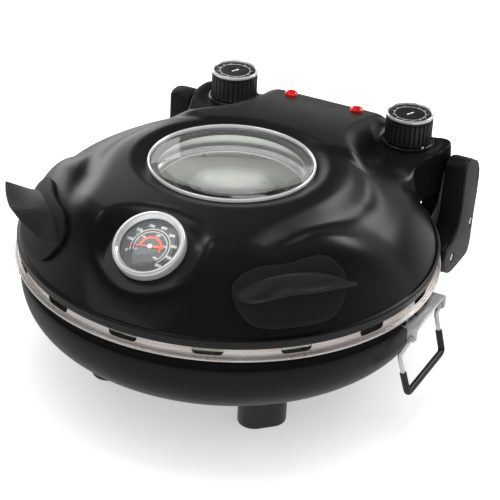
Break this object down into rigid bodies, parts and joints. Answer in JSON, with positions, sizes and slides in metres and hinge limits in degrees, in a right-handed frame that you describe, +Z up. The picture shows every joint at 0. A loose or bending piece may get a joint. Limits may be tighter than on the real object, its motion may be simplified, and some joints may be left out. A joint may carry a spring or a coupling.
{
  "type": "electric pizza maker",
  "caption": "Round countertop pizza oven: black bowl base on feet, slotted steel tray with a baking stone, domed lid with round window and gauge, hinged between two rear arms.",
  "frame": {"origin": "on the floor, below the middle of the bounding box", "axes": "+Z up, -Y towards the front where the gauge and handles are, +Y towards the hinge, +X to the user's right"},
  "size_m": [0.3578, 0.36, 0.1804],
  "materials": {
    "black_enamel": "semi-gloss black enamel",
    "bright_pan": "bright aluminised sheet",
    "heater_sheath": "oxidised sheath",
    "steel": "plain plated steel",
    "stainless": "satin stainless",
    "ivory_plastic": "moulded, heat resistant",
    "black_plastic": "fine satin texture",
    "baking_stone": "dry matt fired stone",
    "bail_wire": "bright plated wire",
    "black_rubber": "matt sleeve",
    "chrome_trim": "polished",
    "clear_glass": "clear, faintly green",
    "dial_paint": "matt dark dial",
    "red_paint": "satin red",
    "red_lens": "translucent red",
    "bronze_bush": "oiled sintered bronze"
  },
  "bodies": {
    "base": {"base_shell": "black_enamel", "base_collar": "black_enamel", "base_pan": "bright_pan", "lower_element": "heater_sheath", "lower_clips": "steel", "thermal_cutout": "ivory_plastic", "terminal_block": "ivory_plastic", "cord_inlet": "black_plastic", "feet": "black_plastic", "foot_screws": "steel", "stone_tray": "stainless", "pizza_stone": "baking_stone", "bail_bracket_left": "steel", "bail_bracket_right": "steel", "bracket_rivets": "steel", "hinge_bracket_left": "steel", "hinge_bracket_right": "steel", "hinge_arm_left": "black_plastic", "hinge_arm_right": "black_plastic", "arm_cover_left": "black_plastic", "arm_cover_right": "black_plastic", "arm_screws": "steel", "hinge_pin_left": "steel", "hinge_pin_right": "steel"},
    "lid": {"lid_shell": "black_enamel", "lid_liner": "bright_pan", "upper_element": "heater_sheath", "upper_clips": "steel", "window_ring": "chrome_trim", "window_glass": "clear_glass", "window_gasket": "black_rubber", "inner_glass": "clear_glass", "gauge_case": "chrome_trim", "gauge_bezel": "chrome_trim", "gauge_dial": "dial_paint", "gauge_lens": "clear_glass", "knob_collar_left": "black_plastic", "knob_collar_right": "black_plastic", "timer": "ivory_plastic", "thermostat": "ivory_plastic", "control_floor": "bright_pan", "lamp_left": "red_lens", "lamp_right": "red_lens", "handle_left": "black_plastic", "handle_right": "black_plastic", "handle_screws": "steel", "hinge_bush_left": "bronze_bush", "hinge_bush_right": "bronze_bush"},
    "timer_knob": {"knob_left": "black_plastic", "knob_ring_left": "chrome_trim", "timer_shaft": "steel"},
    "thermostat_knob": {"knob_right": "black_plastic", "knob_ring_right": "chrome_trim", "thermostat_shaft": "steel"},
    "needle": {"gauge_needle": "red_paint"},
    "bail_left_body": {"bail_left": "bail_wire", "bail_sleeve_left": "black_rubber"},
    "bail_right_body": {"bail_right": "bail_wire", "bail_sleeve_right": "black_rubber"}
  },
  "joints": [
    {"name": "lid_hinge", "type": "hinge", "parent": "base", "child": "lid", "pos_m": [0, 0.162, 0.1257], "axis": [-1, 0, 0], "range_deg": [0, 100]},
    {"name": "timer_turn", "type": "hinge", "parent": "lid", "child": "timer_knob", "pos_m": [-0.0825, 0.153, 0.149], "axis": [0, 0, -1], "range_deg": [0, 300]},
    {"name": "thermostat_turn", "type": "hinge", "parent": "lid", "child": "thermostat_knob", "pos_m": [0.0825, 0.153, 0.149], "axis": [0, 0, -1], "range_deg": [0, 270]},
    {"name": "needle_turn", "type": "hinge", "parent": "lid", "child": "needle", "pos_m": [0, -0.141, 0.1665], "axis": [0, 0.5299, -0.848], "range_deg": [0, 240]},
    {"name": "bail_left_swing", "type": "hinge", "parent": "base", "child": "bail_left_body", "pos_m": [-0.173, -0.01, 0.086], "axis": [0, 1, 0], "range_deg": [-12, 140]},
    {"name": "bail_right_swing", "type": "hinge", "parent": "base", "child": "bail_right_body", "pos_m": [0.173, -0.01, 0.086], "axis": [0, -1, 0], "range_deg": [-12, 140]}
  ]
}
